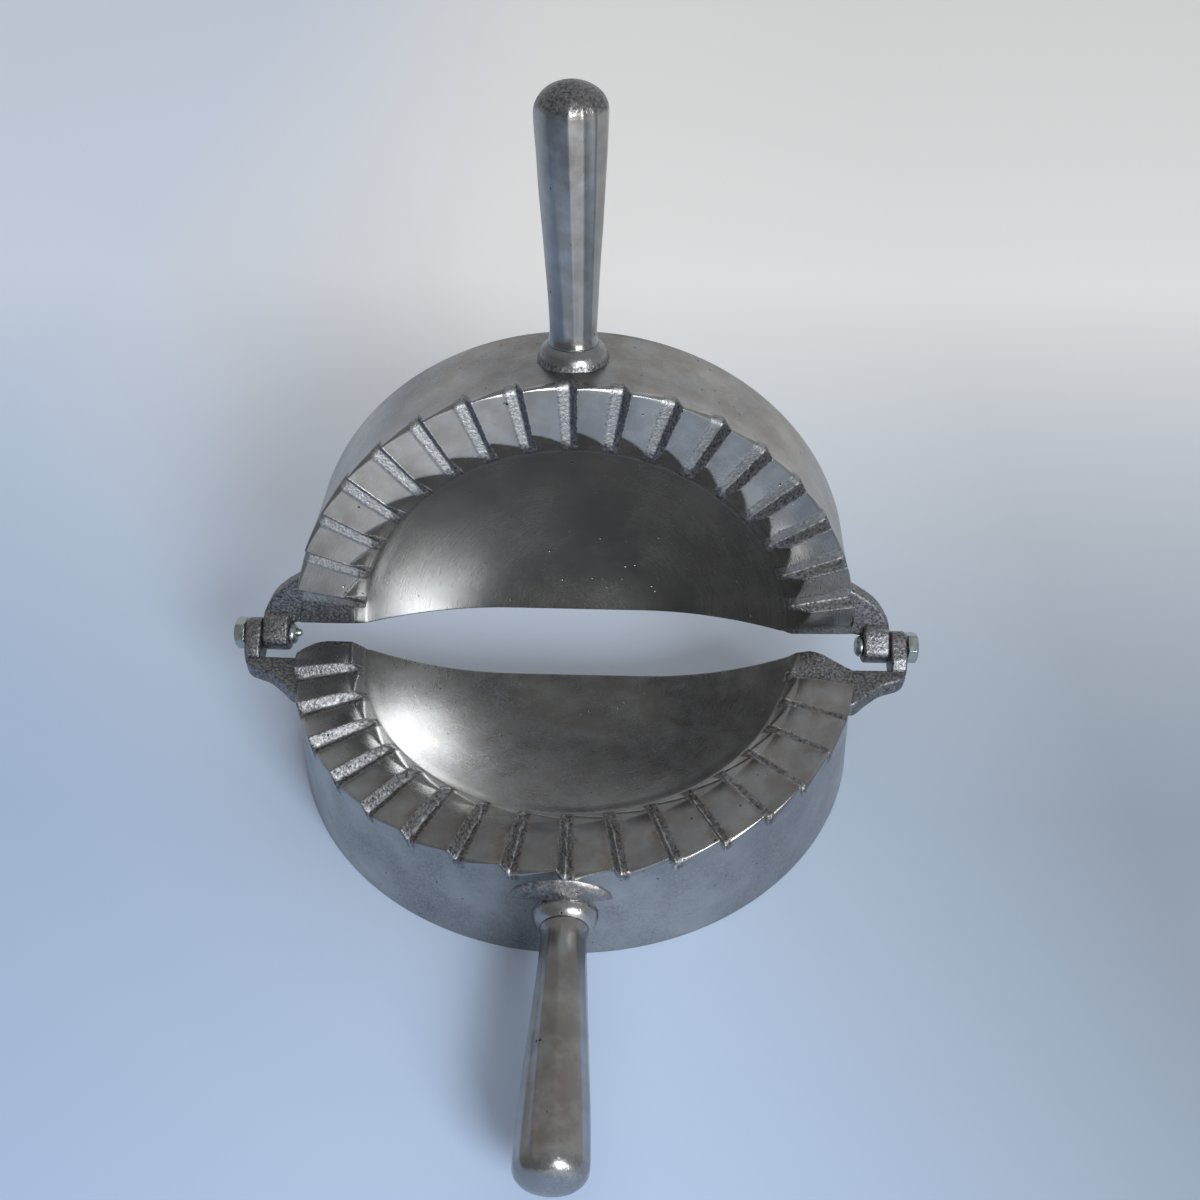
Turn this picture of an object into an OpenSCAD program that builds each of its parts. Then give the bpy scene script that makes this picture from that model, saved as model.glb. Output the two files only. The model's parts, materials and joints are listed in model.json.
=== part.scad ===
// Half-moon press for filled pastry, cast in aluminium.
// Two jaws turn on two hinge bolts.  Each jaw is a shallow dish cut through its
// middle, with a ring of saw teeth around it and a tall half-round skirt under it.
// The teeth of one jaw fill the gaps of the other when the press closes.
// The lower jaw stands on the rim of its skirt at z = 0, the upper jaw is raised.
// The origin is at floor level, in the middle of the press.

/* [Jaws] */
// Outer radius of the toothed ring
ring_r = 100; // [80:1:130]
// Outer radius of the lower skirt at its rim
lower_rim_r = 102.3; // [80:0.1:135]
// Outer radius of the upper skirt at its rim
upper_rim_r = 101.3; // [80:0.1:135]
// Depth of the skirt, from the hinge line down to the rim
skirt_depth = 41; // [30:1:60]
// Wall of the skirt
skirt_wall = 4.6; // [3:0.1:8]
// Thickness of the ring under the tooth valleys
ring_thick = 6; // [4:0.5:10]
// Distance from the hinge line to the straight edge of each jaw
edge_gap = 3.5; // [2:0.5:8]
// Opening angle between the jaws, 0 closed and 180 laid flat
opening = 97; // [0:1:180]

/* [Bowl] */
// Depth of the bowl below the hinge line
bowl_depth = 13.9; // [8:0.1:25]
// Radius where the bowl meets the sloping lip
mouth_r = 76; // [60:0.5:90]
// Radius of the level middle of the bowl
bowl_flat_r = 24; // [10:1:40]
// Radius of the curved side of the bowl
bowl_side_r = 123.3; // [80:0.1:200]
// Wall of the bowl
bowl_wall = 4; // [3:0.5:8]
// Slope of the lip that cuts the inner ends of the teeth
lip_slope = 34; // [20:1:60]

/* [Crimping teeth] */
// Number of steep tooth faces on each jaw
teeth = 17; // [9:2:31]
// Angle from one tooth to the next
tooth_pitch = 9.85; // [5:0.05:20]
// Angle taken by each steep face
steep_angle = 1.3; // [0.5:0.1:3]
// Tooth height at the outer edge
tooth_h = 3.8; // [2:0.1:8]
// Gap between the meshing teeth of the closed jaws, measured along the height
mesh_gap = 0.6; // [0.3:0.1:2]

/* [Hinges] */
// Diameter of the hinge bolts
bolt_d = 6; // [5:0.5:10]
// Width of the hexagon head across its flats
head_flats = 10; // [8:0.5:17]
// Thickness of the hexagon head
head_h = 3.6; // [3:0.1:7]
// Radius of the round eyes of the lugs
eye_r = 6; // [4:0.5:10]
// Inner face of the inner lug, measured from the middle plane
inner_lug_x = 103.5; // [100:0.1:120]
// Thickness of the inner lug
inner_lug_w = 7.6; // [5:0.1:12]
// Thickness of the outer lug
outer_lug_w = 5.3; // [4:0.1:12]
// Clearance between the two lugs
lug_gap = 1.8; // [0.3:0.1:3]
// Clearance between the outer lug and the bolt head
head_gap = 0.8; // [0.3:0.1:1.5]
// Radial clearance of the bolt in the outer lug
bolt_play = 0.06; // [0.01:0.01:0.1]

/* [Handles] */
// Distance from the hinge line to the end of the lower handle
lower_end = 183; // [150:1:240]
// Distance from the hinge line to the end of the upper handle
upper_end = 185.4; // [150:0.1:240]
// Radius of the lower handle where it leaves the boss
lower_root_r = 7.2; // [6:0.1:12]
// Radius of the upper handle where it leaves the boss
upper_root_r = 7.8; // [6:0.1:12]
// Radius of the lower handle at its thick end
lower_end_r = 10.9; // [8:0.1:16]
// Radius of the upper handle at its thick end
upper_end_r = 11.5; // [8:0.1:16]
// Length of the lower handle's blunt end
lower_dome = 8; // [5:0.1:16]
// Length of the upper handle's round end
upper_dome = 8.8; // [5:0.1:16]
// Distance of each handle to one side of the jaw's middle
handle_side = 1; // [0:0.1:5]
// Height of the handle's axis below the hinge line
handle_drop = 22; // [12:0.5:30]
// Radius of the bead around the upper boss
upper_boss_r = 11.4; // [8:0.1:16]
// Radius of the bead around the lower boss
lower_boss_r = 10.2; // [8:0.1:16]
// Distance from the hinge line to the end of the boss
boss_end = 106; // [103:0.5:115]
// Radius of the spigot that holds the handle in the boss
spigot_r = 5; // [4:0.5:8]

/* [Hidden] */
$fn = 96;
fit = 0.01;
cast = [0.66, 0.67, 0.68];
zinc = [0.78, 0.79, 0.80];
gentle_angle = tooth_pitch - steep_angle;
half_gentle = gentle_angle / 2;
half_steep = steep_angle / 2;
gentle_tilt = atan((tooth_h / 2) / (ring_r * sin(half_gentle)));
steep_tilt = atan((tooth_h / 2) / (ring_r * sin(half_steep)));
tooth_drop = mesh_gap / 2;
bowl_side_z = bowl_side_r - bowl_depth;
mouth_rise = bowl_side_r * cos(asin((mouth_r - bowl_flat_r) / bowl_side_r));
mouth_z = bowl_side_z - mouth_rise;
ring_bottom = -tooth_h / 2 - tooth_drop - ring_thick;
inner_lug_out = inner_lug_x + inner_lug_w;
outer_lug_x = inner_lug_out + lug_gap;
outer_lug_out = outer_lug_x + outer_lug_w;
head_x = outer_lug_out + head_gap;
raised_reach = (upper_end - upper_dome) * cos(180 - opening) + handle_drop * sin(180 - opening)
    + upper_end_r;
hinge_y = (lower_end - raised_reach) / 2;
left_head_turn = 52.6;
right_head_turn = 35.8;

// Moves a jaw's own frame, with the hinge line on x, to its place in the press.
module lower_place() translate([0, hinge_y, skirt_depth]) rotate([0, 0, 180]) children();
module upper_place() translate([0, hinge_y, skirt_depth]) rotate([180 - opening, 0, 0]) children();

// Everything above the bowl's surface, and above the lip that follows it outward.
module bowl_space() {
    rotate_extrude() union() {
        intersection() {
            translate([bowl_flat_r, bowl_side_z]) circle(r = bowl_side_r, $fn = 360);
            translate([bowl_flat_r, -bowl_depth - 1]) square([mouth_r - bowl_flat_r, bowl_depth + 20]);
        }
        translate([0, -bowl_depth]) square([bowl_flat_r, bowl_depth + 19]);
        polygon([
            [mouth_r - 0.5, mouth_z + 2], [mouth_r, mouth_z + 2], [mouth_r, mouth_z],
            [mouth_r + 12, mouth_z + 12 * tan(lip_slope)], [mouth_r + 12, 19], [mouth_r - 0.5, 19]
        ]);
    }
}

// The thin shell that carries the bowl, one wall thickness under its surface.
module bowl_shell() {
    rotate_extrude() union() {
        intersection() {
            translate([bowl_flat_r, bowl_side_z])
                circle(r = bowl_side_r + bowl_wall, $fn = 360);
            translate([bowl_flat_r, -bowl_depth - bowl_wall - 1])
                square([mouth_r + 4 - bowl_flat_r, bowl_depth + bowl_wall - 1]);
        }
        translate([0, -bowl_depth - bowl_wall]) square([bowl_flat_r, bowl_wall + 8]);
    }
}

// Ring and skirt as one turned section.
module ring_and_skirt(rim_r) {
    rotate_extrude() polygon([
        [mouth_r - 3, 3], [ring_r, 3], [ring_r, ring_bottom],
        [rim_r, 0.6 - skirt_depth], [rim_r - 0.6, -skirt_depth],
        [rim_r - skirt_wall + 0.6, -skirt_depth], [rim_r - skirt_wall, 0.6 - skirt_depth],
        [ring_r - skirt_wall, ring_bottom - 3], [ring_r - skirt_wall - 1, ring_bottom - 1],
        [ring_r - skirt_wall - 3, ring_bottom], [mouth_r - 3, ring_bottom]
    ]);
}

// Wedge in plan between two angles, reaching past the ring.
module sector(a0, a1) {
    translate([0, 0, -9]) linear_extrude(20) polygon([
        [60 * cos(a0), 60 * sin(a0)], [125 * cos(a0), 125 * sin(a0)],
        [125 * cos(a1), 125 * sin(a1)], [60 * cos(a1), 60 * sin(a1)]
    ]);
}

// Space under a plane through the ring's centre.  The plane is level along this
// angle and rises by the tilt towards larger angles.
module under(angle, tilt) {
    translate([0, 0, -tooth_drop]) rotate([0, 0, angle]) rotate([tilt, 0, 0])
        translate([40, -40, -30]) cube([100, 80, 30]);
}

// One saw tooth: a gentle rise up to its crest and a steep fall behind it.
// Its feet reach into both neighbours, so the valleys are where the faces meet.
module tooth(k) {
    mid_steep = 90 + (k - (teeth - 1) / 2) * tooth_pitch;
    crest = mid_steep - half_steep;
    intersection() {
        sector(mid_steep - tooth_pitch - 0.4, mid_steep + half_steep + 1);
        under(crest - half_gentle, gentle_tilt);
        under(mid_steep, -steep_tilt);
    }
}

// All the teeth on the level body that carries them.
module toothed_space() {
    for (k = [0 : teeth]) tooth(k);
    translate([-130, -10, -60]) cube([260, 140, 60 + ring_bottom + ring_thick - 0.8]);
}

// Round boss on the skirt that takes the handle's spigot: a flared foot, a bead
// around it and a narrower end where the handle begins.
module boss(bead_r) {
    handle_line() rotate_extrude() union() {
        translate([0, ring_r - 3]) square([bead_r - 3, boss_end - ring_r + 3]);
        translate([bead_r - 3, boss_end - 3.6]) circle(r = 3);
        polygon([[0, ring_r - 3], [bead_r + 3.2, ring_r - 3], [bead_r + 1.4, ring_r - 0.2],
                 [bead_r - 0.6, ring_r + 2.6], [0, ring_r + 2.6]]);
    }
}

// The line along the middle of a handle, with z pointing away from the hinge.
module handle_line() {
    translate([-handle_side, 0, -handle_drop]) rotate([-90, 0, 0]) children();
}

module boss_bore() {
    handle_line() translate([0, 0, ring_r - 12]) cylinder(r = spigot_r, h = boss_end - ring_r + 14);
}

// Casting that both jaws share, without its lugs.
module half_casting(rim_r, bead_r) {
    difference() {
        union() {
            intersection() {
                ring_and_skirt(rim_r);
                toothed_space();
                translate([-130, edge_gap, -60]) cube([260, 130, 80]);
            }
            intersection() {
                bowl_shell();
                translate([-130, edge_gap, -60]) cube([260, 130, 80]);
            }
            boss(bead_r);
        }
        bowl_space();
        boss_bore();
    }
}

// Plate of a lug from its eye to its arm, drawn in the plane across the hinge line.
module lug_plate(x0, width, outline, bore_r) {
    translate([x0, 0, 0]) rotate([90, 0, 90]) linear_extrude(width) difference() {
        union() {
            circle(r = eye_r);
            polygon(outline);
        }
        circle(r = bore_r);
    }
}

// Arm from the skirt out to the lug, drawn in plan.
module lug_arm(outline, z0, z1) {
    difference() {
        translate([0, 0, z0]) linear_extrude(z1 - z0) polygon(outline);
        translate([0, 0, -30]) cylinder(r = ring_r - skirt_wall, h = 60);
    }
}

module outer_lug() {
    lug_plate(outer_lug_x, outer_lug_w,
        [[1.6, 5.78], [8.2, 1.6], [10.2, -1.2], [10.6, -3], [10.6, -8.5], [7, -8.5], [-2.4, -5.5]],
        bolt_d / 2 + bolt_play);
    lug_arm([[94, 9.6], [outer_lug_out, 9.6], [outer_lug_out - 0.6, 11.6], [outer_lug_out - 2, 13.5],
             [114.2, 14.8], [109.6, 16.4], [106.4, 18.5], [103, 21.4], [98.5, 26], [94, 27]], -8.5, -1.8);
}

module inner_lug() {
    lug_plate(inner_lug_x, inner_lug_w,
        [[1.6, 5.78], [6.6, 1.2], [8, -0.9], [8.6, -2.9], [8.6, -8.5], [6, -8.5], [-2.4, -5.5]],
        bolt_d / 2 - fit);
    lug_arm([[94, 4.6], [inner_lug_out, 4.6], [inner_lug_out, 6.8], [inner_lug_out - 0.7, 9.8],
             [inner_lug_out - 2.2, 12.7], [106.6, 15.8], [103.4, 18.6], [97.5, 22.8], [94, 23.5]],
            -8.5, -2.3);
}

// Corner of the lower jaw's straight edge, cut back beside the hinge.
module corner_relief() {
    translate([0, 0, -60]) linear_extrude(80) polygon([
        [86, 0], [86, edge_gap], [91, 4.8], [96, 7.2], [99.5, 9.6], [130, 9.6], [130, 0]
    ]);
}

module lower_jaw() {
    color(cast) lower_place() {
        difference() {
            half_casting(lower_rim_r, lower_boss_r);
            corner_relief();
            mirror([1, 0, 0]) corner_relief();
        }
        outer_lug();
        mirror([1, 0, 0]) outer_lug();
    }
}

module upper_jaw() {
    color(cast) upper_place() {
        half_casting(upper_rim_r, upper_boss_r);
        inner_lug();
        mirror([1, 0, 0]) inner_lug();
    }
}

// Radius of a handle from its root, at 0, to the start of its end, at 1.  Half of
// the swelling is even and half of it eases in and out.
function club(t, root_r, end_r) = root_r + (end_r - root_r) * (t + 3 * t * t - 2 * t * t * t) / 2;

// Share of the full radius left at an angle round the end: an ellipse at power 2,
// and blunter above that.
function blunt(a, power) = pow(1 - pow(sin(a), power), 1 / power);

// Club-shaped handle with a spigot at its root.
module handle(end_y, root_r, end_r, dome, power) {
    dome_y = end_y - dome;
    handle_line() {
        translate([0, 0, ring_r - skirt_wall - 1]) cylinder(r = spigot_r + fit, h = 15);
        rotate_extrude() polygon(concat(
            [[0, boss_end], [root_r + 0.8, boss_end], [root_r + 0.2, boss_end + 1.4]],
            [for (i = [1 : 16]) [club(i / 16, root_r, end_r), boss_end + (dome_y - boss_end) * i / 16]],
            [for (a = [8 : 8 : 80]) [end_r * blunt(a, power), dome_y + dome * sin(a)]],
            [[0, end_y]]
        ));
    }
}

module lower_handle() {
    color(cast) lower_place() handle(lower_end, lower_root_r, lower_end_r, lower_dome, 2.8);
}

module upper_handle() {
    color(cast) upper_place() handle(upper_end, upper_root_r, upper_end_r, upper_dome, 2);
}

// Bolt along +x: hexagon head outside, shank through both lugs, and a flattened
// button inside that keeps it in the inner lug.
module hinge_bolt(turn) {
    button_h = 2.6;
    rotate([0, 90, 0]) {
        translate([0, 0, inner_lug_x - 0.2])
            cylinder(r = bolt_d / 2, h = head_x - inner_lug_x + 0.4);
        translate([0, 0, inner_lug_x - button_h + 1]) cylinder(r = 3.9, h = button_h - 1);
        translate([0, 0, inner_lug_x - button_h]) cylinder(r1 = 2.9, r2 = 3.9, h = 1);
        translate([0, 0, head_x]) intersection() {
            rotate([0, 0, turn]) cylinder(d = head_flats / cos(30), h = head_h, $fn = 6);
            union() {
                cylinder(d = 12, h = head_h - 0.9);
                translate([0, 0, head_h - 0.9]) cylinder(d1 = 12, d2 = 9.4, h = 0.9);
            }
        }
    }
}

module left_hinge_bolt() {
    color(zinc) upper_place() mirror([1, 0, 0]) hinge_bolt(left_head_turn);
}

module right_hinge_bolt() {
    color(zinc) upper_place() hinge_bolt(right_head_turn);
}

lower_jaw();
upper_jaw();
lower_handle();
upper_handle();
left_hinge_bolt();
right_hinge_bolt();
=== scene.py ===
import json

import bpy
import numpy as np
from mathutils import Euler, Matrix, Vector


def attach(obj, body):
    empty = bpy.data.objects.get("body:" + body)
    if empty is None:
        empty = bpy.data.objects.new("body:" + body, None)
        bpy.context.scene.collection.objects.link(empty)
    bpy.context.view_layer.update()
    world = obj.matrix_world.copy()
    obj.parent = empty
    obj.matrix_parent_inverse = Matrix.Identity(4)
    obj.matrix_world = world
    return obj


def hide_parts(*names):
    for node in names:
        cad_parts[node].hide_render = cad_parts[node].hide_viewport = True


# A hinged press for filled pastry, sand-cast in aluminium.  Every piece is worked out
# in its jaw's own frame in millimetres: x runs along the hinge line, `out` points from
# the hinge line over the jaw to its handle, and `up` is the side that carries the teeth.
# Angles are in degrees and run round the ring from x, so that 90 is straight out.

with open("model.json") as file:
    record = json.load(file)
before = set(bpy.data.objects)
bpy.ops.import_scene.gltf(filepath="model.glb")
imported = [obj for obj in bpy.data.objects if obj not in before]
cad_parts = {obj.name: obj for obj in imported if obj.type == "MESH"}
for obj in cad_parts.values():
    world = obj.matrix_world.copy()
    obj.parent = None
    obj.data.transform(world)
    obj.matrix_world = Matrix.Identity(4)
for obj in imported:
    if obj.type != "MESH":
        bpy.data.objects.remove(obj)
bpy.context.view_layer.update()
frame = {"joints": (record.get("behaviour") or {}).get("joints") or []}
HINGE = np.array(frame["joints"][0]["pos_m"]) * 1000.0
OPENING = 97.0

# Ring and skirt
RING_R = 100.0
RIM_R = {"lower": 102.3, "upper": 101.3}
RING_BOTTOM = -8.2
UNDERSIDE_R = 92.4
UNDERSIDE_BEND = 3.0
SKIRT_DEPTH = 41.0
SKIRT_WALL = 4.6
FOOT_ROUND = 0.7

# Straight inner edge.  For each end of the lower jaw, the second list is how far the
# edge keeps from the hinge line at the distances from the middle in the first.
EDGE_GAP = 3.5
EDGE_ROUND = 0.55
LOWER_SWING = {1: ([90.0, 93.8, 97.3, 100.0], [3.5, 5.0, 7.8, 10.4]),
               -1: ([84.0, 88.0, 92.0, 96.4, 100.0], [3.5, 4.6, 7.2, 10.2, 11.8])}

# Bowl, the shallow groove inside its mouth, and the lip between mouth and teeth
BOWL_DEPTH = 13.9
BOWL_WALL = 4.0
BOWL_FLAT_R = 24.0
BOWL_SIDE_R = 123.3
BOWL_SIDE_Z = BOWL_SIDE_R - BOWL_DEPTH
MOUTH_R = 76.0
MOUTH_Z = BOWL_SIDE_Z - np.sqrt(BOWL_SIDE_R ** 2 - (MOUTH_R - BOWL_FLAT_R) ** 2)
BACK_MOUTH_R = 72.7
GROOVE_R = 75.0
GROOVE_WIDTH = 0.8
GROOVE_DEPTH = 0.4
GROOVE_STOP = 168.0
LIP_SLOPE = 34.0
LIP_ROUND = 0.25
LIP_DRAWN_BACK = 1.2

# Teeth.  STEEP_ANGLE is what a steep face takes of the pitch.
TEETH = 17
TOOTH_PITCH = 9.85
STEEP_ANGLE = 1.3
TOOTH_H = 3.8
TOOTH_DROP = 0.3
TOOTH_SPREAD = 0.08
CREST_ROUND = 0.34
VALLEY_ROUND = 0.55
CREST_CORNER = 0.6
VALLEY_CORNER = 2.3
WORN_CREST = {"lower": 0.9, "upper": 0.2}
WORN_R = 87.0

# Pads that end the rings at the hinge: a low one on the upper jaw, and a high one,
# which faces it when the jaws are closed, on the lower jaw
LOW_PAD_Z = -1.9
LOW_PAD_START = 169.4
LOW_PAD_LIP_ROUND = 1.55
HIGH_PAD_Z = 0.5
HIGH_PAD_END = 10.4
PAD_ROUND = 0.5

# Handles and their seats
SEAT = np.array([-1.0, 0.0, -22.0])
BOSS_END = 106.0
BEAD_R = {"lower": 10.2, "upper": 11.4}
RIDGE_HALF = 16.0
RIDGE_DROOP = 2.6
FLATS = 12
CLUBS = {"lower": {"end": 183.0, "root_r": 7.2, "end_r": 10.9, "dome": 8.0, "power": 2.8, "seed": 1,
                   "dome_finish": 0.6},
         "upper": {"end": 185.4, "root_r": 7.8, "end_r": 11.5, "dome": 8.8, "power": 2.0, "seed": 2,
                   "dome_finish": 0.3}}

# Lugs and bolts, by their places along the hinge line
INNER_LUG = (103.3, 112.2)
OUTER_LUG = (112.7, 118.2)
EYE_R = 6.0
SHANK_R = 3.0
HEAD_X = 119.0
HEAD_H = 3.6
HEAD_FLATS = 10.0

# How far each surface was polished, from 0 as cast to 1, and how far past a valley the
# belt left the casting's skin
BOWL_FINISH = {"lower": 0.62, "upper": 0.93}
SKIRT_FINISH = {"lower": 0.6, "upper": 0.7}
TOOTH_FINISH = 0.8
LIP_FINISH = 0.9
UNGROUND = {"lower": 1.7, "upper": 2.6}


# Placing and meshing
def placed(own, jaw):
    """Own frame to row frame, in metres.  The lower jaw is turned half round about the
    vertical, and the upper one is tilted about the hinge line by what is left of the
    opening to a straight angle."""
    x, out, up = own[..., 0], own[..., 1], own[..., 2]
    if jaw == "lower":
        row = np.stack([-x, -out, up], -1)
    else:
        a = np.radians(180.0 - OPENING)
        row = np.stack([x, out * np.cos(a) - up * np.sin(a), out * np.sin(a) + up * np.cos(a)], -1)
    return (row + HINGE) / 1000.0


def grid_faces(rows, cols, wrap=False):
    """Quads of a grid whose points are numbered row by row: each joins a point, the one
    in the next row, and their neighbours in the next column."""
    j, i = np.meshgrid(np.arange(rows - 1), np.arange(cols if wrap else cols - 1), indexing="ij")
    k = (i + 1) % cols
    corners = [j * cols + i, (j + 1) * cols + i, (j + 1) * cols + k, j * cols + k]
    return np.stack(corners, -1).reshape(-1, 4)


def outward(points, faces):
    """The faces, all reversed if the volume that they enclose comes out negative."""
    total = 0.0
    for f in faces:
        a = points[f[:, 0]]
        for n in range(1, f.shape[1] - 1):
            total += np.einsum("ij,ij->", a, np.cross(points[f[:, n]], points[f[:, n + 1]]))
    return faces if total > 0 else [f[:, ::-1] for f in faces]


def closed_tube(rings):
    """Points and faces of a skin over closed rings, one row each, with a point at the
    middle of the first and last ring to close both ends."""
    rows, cols = rings.shape[:2]
    points = np.concatenate([rings.reshape(-1, 3), rings[0].mean(0)[None], rings[-1].mean(0)[None]])
    i = np.arange(cols)
    k = (i + 1) % cols
    start = np.stack([np.full(cols, rows * cols), i, k], -1)
    last = (rows - 1) * cols
    end = np.stack([np.full(cols, rows * cols + 1), last + k, last + i], -1)
    return points, outward(points, [grid_faces(rows, cols, wrap=True), start, end])


def looks(points, finish, film_and_painted_light=0.0, grind=None):
    """What the metals read at each point, in columns: the finish, from 0 as cast to 1
    polished, the brown stain with painted light, from -1 lightened (worn bright and painted
    highlights) to 1 full stain, which on the handles also carries painted shade, and the grinding
    coordinates, which are the place squeezed along the belt's way."""
    made = np.empty((len(points), 5), np.float32)
    made[:, 0] = finish
    made[:, 1] = film_and_painted_light
    made[:, 2:] = points if grind is None else grind
    return made


def joined(shells):
    """Several shells as one, the faces renumbered.  A shell is its points, its lists of
    faces and its looks."""
    points, faces, surface, count = [], [], [], 0
    for p, f, s in shells:
        points.append(p)
        faces += [q + count for q in f]
        surface.append(s)
        count += len(p)
    return np.concatenate(points), faces, np.concatenate(surface)


def mirrored(shell):
    """The same shell on the other side of the hinge line's middle."""
    points, faces, surface = shell
    return points * [-1, 1, 1], [f[:, ::-1] for f in faces], surface


def make_piece(name, shell, jaw, node, material):
    """A mesh from an own-frame shell, with its looks as attributes."""
    points, faces, surface = shell
    mesh = bpy.data.meshes.new(name)
    mesh.from_pydata(placed(points, jaw).tolist(), [], [q for f in faces for q in f.tolist()])
    mesh.validate()
    for column, attribute in enumerate(("finish", "film_and_painted_light")):
        mesh.attributes.new(attribute, "FLOAT", "POINT").data.foreach_set(
            "value", np.ascontiguousarray(surface[:, column]))
    mesh.attributes.new("grind", "FLOAT_VECTOR", "POINT").data.foreach_set(
        "vector", (surface[:, 2:] / 1000.0).ravel())
    mesh.polygons.foreach_set("use_smooth", np.ones(len(mesh.polygons), bool))
    mesh.materials.append(material)
    piece = bpy.data.objects.new(name, mesh)
    bpy.context.scene.collection.objects.link(piece)
    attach(piece, jaw + "_half")
    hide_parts(node)
    return piece


# Small shape functions
def smooth_step(t):
    """From 0 to 1, level at both ends: three times the square less twice the cube."""
    t = np.clip(t, 0.0, 1.0)
    return t * t * (3.0 - 2.0 * t)


def soft_min(a, b, k):
    """The smaller of two heights, with the edge between them rounded over a height k."""
    h = np.clip(0.5 + 0.5 * (b - a) / k, 0.0, 1.0)
    return b + (a - b) * h - k * h * (1.0 - h)


def soft_max(a, b, k):
    """The larger of two heights, rounded in the same way."""
    return -soft_min(-a, -b, k)


def uneven(points, size, seed):
    """Smooth unevenness from -1 to 1: the mean of seven sine waves about `size` long,
    with directions and phases from a seeded draw."""
    rng = np.random.default_rng(seed)
    total = np.zeros(points.shape[:-1])
    for _ in range(7):
        way = rng.normal(size=3)
        way *= 2.0 * np.pi / (size * rng.uniform(0.7, 1.5) * np.linalg.norm(way))
        total += np.sin(points @ way + rng.uniform(0.0, 2.0 * np.pi))
    return total / 7.0


def turned(profile, centre, way, around, sides=96, shape=None):
    """Rings of a solid of revolution: each (distance along `way`, radius) of the profile
    makes a ring about the axis, and `shape` may scale the radius by the angle round it."""
    way = np.array(way, float)
    side = np.array(around, float)
    third = np.cross(way, side)
    t = np.linspace(0.0, 2.0 * np.pi, sides, endpoint=False)
    along, radius = np.array(profile, float).T
    radius = radius[:, None] * (shape(t, along) if shape else np.ones((len(along), sides)))
    return (np.array(centre) + along[:, None, None] * way
            + (radius * np.cos(t))[..., None] * side + (radius * np.sin(t))[..., None] * third)


def pushed_out(rings, distance):
    """Rings about a handle's axis, moved away from the axis by a distance at each point."""
    spoke = rings - SEAT
    spoke[..., 1] = 0.0
    spoke /= np.linalg.norm(spoke, axis=-1, keepdims=True) + 1e-9
    return rings + spoke * distance[..., None]


# Teeth, lip, bowl and edge
def nearest_tooth(angle):
    """Number of the nearest steep face, counted from the one straight out, and how many
    degrees the angle is past its middle."""
    k = np.round((angle - 90.0) / TOOTH_PITCH)
    return k, angle - 90.0 - k * TOOTH_PITCH


def tooth_height(r, angle, jaw):
    """Height of the saw teeth.  Each gentle face and each steep face is a plane through
    the ring's centre, so its height is the radius times the sine of the angle from its
    level line times its slope.  A tooth is the lower of its gentle and steep face, and
    the valley is where the next gentle face stands above the steep one.  At one end the
    upper jaw keeps a low pad, and the lower jaw, facing it, a high one."""
    k, past = nearest_tooth(angle)
    past, pitch, steep = np.radians(past), np.radians(TOOTH_PITCH), np.radians(STEEP_ANGLE)
    rng = np.random.default_rng(5 if jaw == "lower" else 9)
    jitter = rng.uniform(-TOOTH_SPREAD, TOOTH_SPREAD, TEETH + 6)[(k + TEETH // 2 + 2).astype(int)]
    half = (TOOTH_H / 2.0 + jitter) / RING_R
    gentle = half / np.sin((pitch - steep) / 2.0)
    fall = half / np.sin(steep / 2.0)
    before = gentle * r * np.sin(past + pitch / 2.0)
    after = gentle * r * np.sin(past - pitch / 2.0)
    crest = soft_min(before, -fall * r * np.sin(past), CREST_ROUND)
    height = soft_max(crest, after, VALLEY_ROUND) - TOOTH_DROP
    if jaw == "upper":
        low = soft_min(height, LOW_PAD_Z, PAD_ROUND)
        return height + (low - height) * smooth_step((angle - LOW_PAD_START) / 0.6)
    high = soft_max(height, HIGH_PAD_Z, PAD_ROUND)
    return height + (high - height) * smooth_step((HIGH_PAD_END - angle) / 1.2)


def tooth_share(angle):
    """Place across a tooth: 0 in the valley, rising evenly over the gentle face to 1 at
    the crest, and falling back to 0 over the steep face."""
    _, past = nearest_tooth(angle)
    rise = np.where(past > 0.0, past, past + TOOTH_PITCH) - STEEP_ANGLE / 2.0
    up = rise / (TOOTH_PITCH - STEEP_ANGLE)
    down = 0.5 - past / STEEP_ANGLE
    return np.clip(np.where(np.abs(past) < STEEP_ANGLE / 2.0, down, up), 0.0, 1.0)


def bowl_height(r, side_r):
    """Height of the bowl: level in the middle, then an arc of the side radius."""
    past = np.clip(r - BOWL_FLAT_R, 0.0, None)
    return BOWL_SIDE_Z - np.sqrt(side_r ** 2 - past ** 2)


def lip_height(r, angle, jaw):
    """Height of the surface that ends the teeth towards the bowl.  On the lower jaw it
    is a cone round the mouth.  On the upper jaw the bowl itself runs on outwards, drawn
    back a little at the crests, so that each valley reaches in as a point."""
    if jaw == "lower":
        return MOUTH_Z + (r - MOUTH_R) * np.tan(np.radians(LIP_SLOPE))
    drawn = LIP_DRAWN_BACK * smooth_step((r - MOUTH_R) / 4.0) * tooth_share(angle) ** 0.5
    return bowl_height(r - drawn, BOWL_SIDE_R)


def corner_round(angle):
    """Radius of the ring's outer corner: small at a tooth's crest, where the metal ends
    sharply, and growing over the gentle face towards its valley, which the belt wore."""
    return CREST_CORNER + (VALLEY_CORNER - CREST_CORNER) * smooth_step(1.0 - tooth_share(angle))


def edge_line(r, jaw, side):
    """Where the circle of radius r meets the jaw's inner edge, which is straight along
    the hinge line, and on the lower jaw swings away from it near the hinge, more on the
    side of negative x.  There the crossing is found by repeated substitution."""
    out = np.full_like(r, EDGE_GAP)
    if jaw == "lower":
        for _ in range(12):
            x = np.sqrt(np.maximum(r ** 2 - out ** 2, 0.0))
            out = np.interp(x, *LOWER_SWING[side])
    return out


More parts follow.
